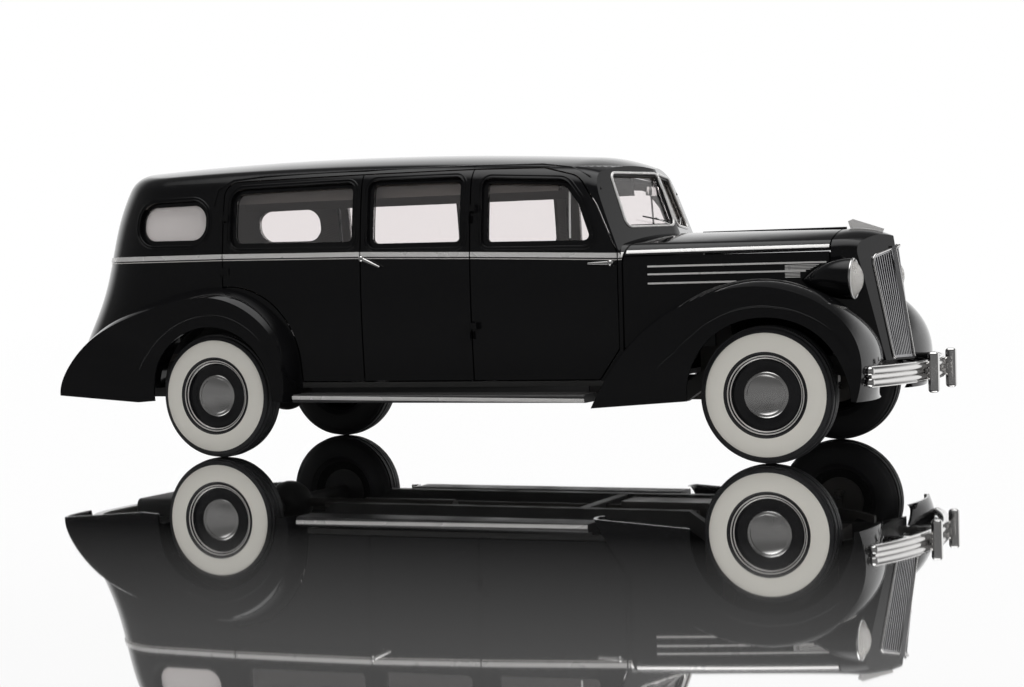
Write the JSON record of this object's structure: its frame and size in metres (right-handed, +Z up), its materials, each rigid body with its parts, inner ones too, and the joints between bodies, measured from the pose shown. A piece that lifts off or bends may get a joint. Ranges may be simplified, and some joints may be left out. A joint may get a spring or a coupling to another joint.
{
  "type": "limousine",
  "caption": "Long closed limousine with sweeping fenders, upright grille, split windscreen, side doors, whitewall tyres and a tall rounded cabin.",
  "frame": {"origin": "on the ground under the middle of the car's length and width", "axes": "+X forward, +Y to the car's left, +Z up"},
  "size_m": [5.6642, 1.8974, 1.8508],
  "materials": {
    "body_paint": "gloss black",
    "window_glass": "clear, lightly tinted",
    "tyre_rubber": "black with a white side band",
    "wheel_paint": "gloss black with a bright cap",
    "bright_chrome": "polished",
    "grille_metal": "silver grey",
    "lamp_glass": "frosted",
    "tail_lamp_glass": "red",
    "seat_leather": "dark brown grey",
    "dash_paint": "satin",
    "wheel_plastic": "black",
    "board_rubber": "ribbed black",
    "chassis_black": "black"
  },
  "bodies": {
    "body": {"chassis_frame": "chassis_black", "cowl": "body_paint", "dashboard": "dash_paint", "engine_block": "chassis_black", "exhaust": "chassis_black", "fixed_glass": "window_glass", "floor_pan": "body_paint", "front_axle": "chassis_black", "front_bumper": "bright_chrome", "front_fenders": "body_paint", "fuel_tank": "chassis_black", "grille": "grille_metal", "headlamp_lenses": "lamp_glass", "headlamps": "bright_chrome", "hood_hinge": "bright_chrome", "hood_ornament": "bright_chrome", "hood_sides": "body_paint", "leaf_springs": "chassis_black", "pillars": "body_paint", "quarter_left": "body_paint", "quarter_right": "body_paint", "radiator_shell": "body_paint", "rear_axle": "chassis_black", "rear_fenders": "body_paint", "roof": "body_paint", "running_boards": "board_rubber", "screen_frame": "body_paint", "seats": "seat_leather", "tail_lamps": "tail_lamp_glass", "tail_panel": "body_paint"},
    "steering_wheel": {"steering_wheel": "wheel_plastic"},
    "luggage_lid": {"luggage_lid": "body_paint"},
    "hood_left": {"hood_left": "body_paint"},
    "hood_right": {"hood_right": "body_paint"},
    "knuckle_left": {"knuckle_left": "chassis_black"},
    "knuckle_right": {"knuckle_right": "chassis_black"},
    "road_wheel_front_left": {"tyre_front_left": "tyre_rubber", "wheel_front_left": "wheel_paint"},
    "road_wheel_front_right": {"tyre_front_right": "tyre_rubber", "wheel_front_right": "wheel_paint"},
    "road_wheel_rear_left": {"tyre_rear_left": "tyre_rubber", "wheel_rear_left": "wheel_paint"},
    "road_wheel_rear_right": {"tyre_rear_right": "tyre_rubber", "wheel_rear_right": "wheel_paint"},
    "door_front_left": {"door_front_left": "body_paint", "glass_front_left": "window_glass"},
    "door_front_right": {"door_front_right": "body_paint", "glass_front_right": "window_glass"},
    "door_middle_left": {"door_middle_left": "body_paint", "glass_middle_left": "window_glass"},
    "door_middle_right": {"door_middle_right": "body_paint", "glass_middle_right": "window_glass"},
    "door_rear_left": {"door_rear_left": "body_paint", "glass_rear_left": "window_glass"},
    "door_rear_right": {"door_rear_right": "body_paint", "glass_rear_right": "window_glass"}
  },
  "joints": [
    {"name": "front_left_roll", "type": "hinge", "parent": "knuckle_left", "child": "road_wheel_front_left", "pos_m": [2, 0.78, 0.385], "axis": [0, 1, 0], "continuous": true},
    {"name": "front_right_roll", "type": "hinge", "parent": "knuckle_right", "child": "road_wheel_front_right", "pos_m": [2, -0.78, 0.385], "axis": [0, 1, 0], "continuous": true},
    {"name": "rear_left_roll", "type": "hinge", "parent": "body", "child": "road_wheel_rear_left", "pos_m": [-1.505, 0.8, 0.385], "axis": [0, 1, 0], "continuous": true},
    {"name": "rear_right_roll", "type": "hinge", "parent": "body", "child": "road_wheel_rear_right", "pos_m": [-1.505, -0.8, 0.385], "axis": [0, 1, 0], "continuous": true},
    {"name": "steer_left", "type": "hinge", "parent": "body", "child": "knuckle_left", "pos_m": [2, 0.68, 0.385], "axis": [0, 0, 1], "range_deg": [-30, 30]},
    {"name": "steer_right", "type": "hinge", "parent": "body", "child": "knuckle_right", "pos_m": [2, -0.68, 0.385], "axis": [0, 0, 1], "range_deg": [-30, 30]},
    {"name": "steering_wheel_turn", "type": "hinge", "parent": "body", "child": "steering_wheel", "pos_m": [0.7, 0.37, 1.06], "axis": [-0.8824, 0, 0.4706], "range_deg": [-480, 480]},
    {"name": "door_front_left_hinge", "type": "hinge", "parent": "body", "child": "door_front_left", "pos_m": [0.21, 0.82732, 1.1], "axis": [0, -0.035, 0.9994], "range_deg": [0, 70]},
    {"name": "door_front_right_hinge", "type": "hinge", "parent": "body", "child": "door_front_right", "pos_m": [0.21, -0.82732, 1.1], "axis": [0, -0.035, -0.9994], "range_deg": [0, 70]},
    {"name": "door_middle_left_hinge", "type": "hinge", "parent": "body", "child": "door_middle_left", "pos_m": [0.21, 0.82732, 1.1], "axis": [0, 0.035, -0.9994], "range_deg": [0, 70]},
    {"name": "door_middle_right_hinge", "type": "hinge", "parent": "body", "child": "door_middle_right", "pos_m": [0.21, -0.82732, 1.1], "axis": [0, 0.035, 0.9994], "range_deg": [0, 70]},
    {"name": "door_rear_left_hinge", "type": "hinge", "parent": "body", "child": "door_rear_left", "pos_m": [-1.47, 0.81685, 1.1], "axis": [0, -0.035, 0.9994], "range_deg": [0, 70]},
    {"name": "door_rear_right_hinge", "type": "hinge", "parent": "body", "child": "door_rear_right", "pos_m": [-1.47, -0.81685, 1.1], "axis": [0, -0.035, -0.9994], "range_deg": [0, 70]},
    {"name": "hood_left_hinge", "type": "hinge", "parent": "body", "child": "hood_left", "pos_m": [1.8, 0, 1.303], "axis": [1, 0, 0], "range_deg": [0, 60]},
    {"name": "hood_right_hinge", "type": "hinge", "parent": "body", "child": "hood_right", "pos_m": [1.8, 0, 1.303], "axis": [-1, 0, 0], "range_deg": [0, 60]},
    {"name": "luggage_lid_hinge", "type": "hinge", "parent": "body", "child": "luggage_lid", "pos_m": [-2.593, 0, 1.196], "axis": [0, 1, 0], "range_deg": [0, 70]}
  ],
  "couplings": [
    {"joint": "steer_right", "follows": "steer_left", "ratio": 1},
    {"joint": "steering_wheel_turn", "follows": "steer_left", "ratio": 16}
  ]
}
